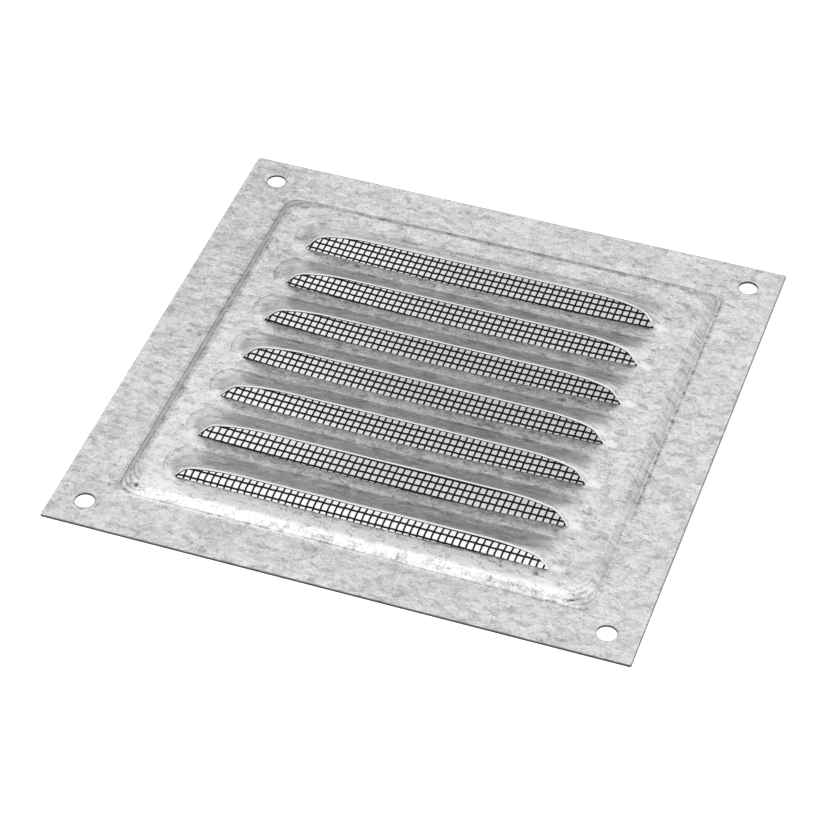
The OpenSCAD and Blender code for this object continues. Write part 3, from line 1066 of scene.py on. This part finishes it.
    def cut_marks(self):
        """Painted shade: dark lines along the sheared edges of the plate and round the punched holes, darker on each
        hole's back side.
        """
        half = PLATE / 2
        sheared = self.x.smooth(half - 0.3, half - 0.15).most(self.front.smooth(half - 0.36, half - 0.2))
        sheared = sheared.most(self.y.smooth(half - 0.25, half - 0.1) * 0.6)
        self.shade("sheared edges", sheared)
        at_hole = half - HOLE_INSET
        hole_x = self.wide - at_hole
        hole_y = self.y - (self.y.smooth(-1, 1) * 2 - 1) * at_hole
        punched = distance(hole_x, hole_y).fade(HOLE_D / 2, HOLE_D / 2 + 0.4)
        self.value = self.value * (1 - punched * (0.25 + hole_y.smooth(-0.5, 1.5) * 0.5))

    def small_marks(self):
        """Scratches, and a few dark specks."""
        for start, end, width, depth in SCRATCHES:
            self.darken(self.scratch(start, end, width) * depth)
        from_middle, (pick, _, _) = self.cells(self.spot, 0.09)
        self.speck = (from_middle * 11).fade(0.08, 0.26) * pick.smooth(0.62, 0.66)
        self.tone("specks", self.speck)

    def paint(self):
        """Joins the colour, roughness, metal and relief to the shader."""
        self.tint(self.value.held(0.12, 1))
        dull = self.strip * self.front_one
        rough = PLAIN_ROUGHNESS + (self.sheen - 0.5) * 0.1 + self.fibre * 0.14 + dull * 0.25
        self.shader(Roughness=rough.held(0.25, 0.7), Metallic=1 - dull * 0.4)
        height = self.fibre * 0.016 + self.fine_fibre * 0.006 + self.rolling * 0.006 + self.light * 0.004
        height = height + self.in_hood * self.streak * 0.02 + self.strip * self.crackle * 0.02
        height = height - self.crease * 0.02 - self.speck * 0.02 + self.folds * self.fold * 0.03
        self.relief(height)


def zinc_sheet():
    on = ZincSheet()
    on.spangle()
    on.hood_marks()
    on.strip_marks()
    on.fold_marks()
    on.corner_marks()
    on.cut_marks()
    on.small_marks()
    on.paint()
    return on.finish


def edge_finish(name, value, variation, foot, metallic):
    """A finish for the cut faces, in painted shade, or for the lip's painted highlight: its value, how much it
    varies, and how much paler it is near the wall.
    """
    on = Surface(name)
    grain = on.noise(on.spot, 3, 3, 0.6, seed=21)
    on.tint((value + grain * variation + on.z.fade(0, 0.14) * foot).held(0.03, 0.97))
    on.shader(Metallic=metallic, Roughness=0.5)
    on.relief(grain * 0.02)
    return on.finish


def mesh_wire():
    on = Surface("dark_wire")
    grain = on.noise(on.spot, 2.5, 3, 0.6, seed=31)
    on.tint((0.012 + grain * 0.012).held(0.005, 0.2))
    on.shader(Metallic=0, Roughness=0.6, Specular_IOR_Level=0.25)
    on.relief(grain * 0.02)
    return on.finish


# ---- Making the pieces ----

zinc = zinc_sheet()
# Cut faces near black as painted shade, a little paler near their bottom
cut_faces_in_shade = edge_finish("painted_shade_on_cut_faces", value=0.045, variation=0.05, foot=0.06, metallic=1.0)
# The lip's rolled top is near white and barely metal: a painted highlight
highlight_on_lip = edge_finish("painted_lip_highlight", value=0.97, variation=0.1, foot=0.0, metallic=0.1)
wire_finish = mesh_wire()


def press_the_sheet():
    blank = blank_object(sheet_blank())
    tree, sizes = press_tree(zinc)
    plate = grown("pressed_sheet", blank, tree, sizes)
    plate.data.materials.clear()
    for finish in (zinc, cut_faces_in_shade, highlight_on_lip):
        plate.data.materials.append(finish)
    on_top, on_edge, on_lip = range(3)
    wall = plate.modifiers.new("sheet_thickness", "SOLIDIFY")
    wall.thickness = SHEET * MM
    wall.offset = -1.0
    wall.use_even_offset = True
    wall.use_quality_normals = True
    wall.material_offset_rim = on_edge
    thick = formed(plate)
    plate.modifiers.clear()
    plate.data = thick
    # Top faces along the rolled lip take the painted highlight finish
    from_lip = np.empty(len(thick.vertices))
    thick.attributes["from_lip"].data.foreach_get("value", from_lip)
    for face in thick.polygons:
        near_lip = from_lip[list(face.vertices)].mean() < ROLL * 0.9
        if face.normal.z > 0 and face.material_index == on_top and near_lip:
            face.material_index = on_lip
    set_smooth(plate.data, 35)
    return plate


def weave_the_mesh():
    mesh = bpy.data.meshes.new("mesh_blank")
    mesh.from_pydata([(0, 0, 0)], [], [])
    tree, sizes = weave_tree(wire_finish)
    wires = grown("woven_mesh", placed("mesh_blank", mesh), tree, sizes)
    set_smooth(wires.data, 50)
    return wires


for piece, node, slot in (
    (press_the_sheet(), "pressed_plate", "galvanised_sheet"),
    (weave_the_mesh(), "insect_mesh", "mesh_wire"),
):
    print(piece.name, "triangles", sum(len(f.vertices) - 2 for f in piece.data.polygons))
    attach(piece, "root")
    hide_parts(node)


# ---- Floor, light and camera ----

def make_floor():
    """White paper that keeps the object's shadow; through the mesh its glow is a little greyer at the back and right,
    a painted shadow under the grille.
    """
    half = 3.0
    mesh = bpy.data.meshes.new("floor")
    mesh.from_pydata([(-half, -half, 0), (half, -half, 0), (half, half, 0), (-half, half, 0)], [], [(0, 1, 2, 3)])
    floor = placed("floor", mesh)
    finish = bpy.data.materials.new("white_floor")
    finish.use_nodes = True
    tree = finish.node_tree
    tree.nodes.clear()
    x, y, _ = parts(tree, tree.nodes.new("ShaderNodeTexCoord").outputs["Object"])
    path = tree.nodes.new("ShaderNodeLightPath")
    camera, glossy, through = (
        Amount(tree, path.outputs[f"Is {kind} Ray"]) for kind in ("Camera", "Glossy", "Transmission")
    )
    # Painted shadow under the grille: the paper's glow is lower toward the back and right, with a darker band across
    # the middle
    paper = 0.54 + 0.24 * x.fade(-0.045, 0.0) + 0.3 * y.fade(-0.05, -0.038) - 0.07 * y.line(0.004, 0.008, 0.026)
    strength = camera.most(glossy).most(through) * paper.least(0.8)
    glow = wired(tree, "ShaderNodeEmission", {"Strength": strength})
    cloth = wired(tree, "ShaderNodeBsdfDiffuse", {"Color": (0.8, 0.8, 0.8, 1)})
    both = wired(tree, "ShaderNodeAddShader", {0: cloth.outputs[0], 1: glow.outputs[0]})
    wired(tree, "ShaderNodeOutputMaterial", {"Surface": both.outputs[0]})
    mesh.materials.append(finish)


def soft_light(name, spot, aim, size, power):
    lamp = bpy.data.lights.new(name, "AREA")
    lamp.shape = "RECTANGLE"
    lamp.size, lamp.size_y = size
    lamp.energy = power
    holder = placed(name, lamp)
    holder.location = spot
    holder.rotation_euler = (Vector(aim) - Vector(spot)).to_track_quat("-Z", "Y").to_euler()


def make_world():
    """A pale room, darker low down on its left side and behind the grille."""
    world = bpy.data.worlds.new("studio")
    bpy.context.scene.world = world
    world.use_nodes = True
    tree = world.node_tree
    back = tree.nodes["Background"]
    x, y, z = parts(tree, tree.nodes.new("ShaderNodeTexCoord").outputs["Generated"])
    room = 0.9 - 0.6 * (x * -1.0).smooth(0.25, 0.75) * z.fade(0.25, 0.6)
    room = room - 0.5 * y.smooth(0.35, 0.8) * z.fade(0.05, 0.4)
    room = room.most(0.1)
    path = tree.nodes.new("ShaderNodeLightPath")
    seen = Amount(tree, path.outputs["Is Camera Ray"])
    tree.links.new((seen + room * (1 - seen)).socket, back.inputs["Strength"])
    back.inputs["Color"].default_value = (1, 1, 1, 1)


def make_camera():
    """The photo's view: the camera stands back from the middle of the sheet, a little to the left and down."""
    azimuth, elevation, roll = (math.radians(a) for a in (18.06, 42.61, 1.14))
    focal_pixels, picture_pixels, sensor = 3203.0, 828.0, 36.0
    back = Vector((
        math.sin(azimuth) * math.cos(elevation),
        -math.cos(azimuth) * math.cos(elevation),
        math.sin(elevation),
    ))
    level_right = Vector((math.cos(azimuth), math.sin(azimuth), 0))
    level_up = back.cross(level_right)
    right = level_right * math.cos(roll) + level_up * math.sin(roll)
    up = level_up * math.cos(roll) - level_right * math.sin(roll)
    lens = bpy.data.cameras.new("camera")
    lens.sensor_width = sensor
    lens.lens = focal_pixels * sensor / picture_pixels
    lens.clip_start, lens.clip_end = 0.05, 20.0
    camera = placed("camera", lens)
    turn = Matrix((right, up, back)).transposed()
    right_up_back = Vector((-3.9, -6.1, 817.0))
    spot = turn @ right_up_back * MM + Vector((0, 0, SHEET * MM))
    camera.matrix_world = Matrix.Translation(spot) @ turn.to_4x4()
    bpy.context.scene.camera = camera


make_floor()
make_world()
soft_light("front_box", spot=(-0.1, -1.0, 0.72), aim=(0, 0, 0), size=(1.3, 0.9), power=1.5)
make_camera()
bpy.context.scene.view_settings.view_transform = "Standard"
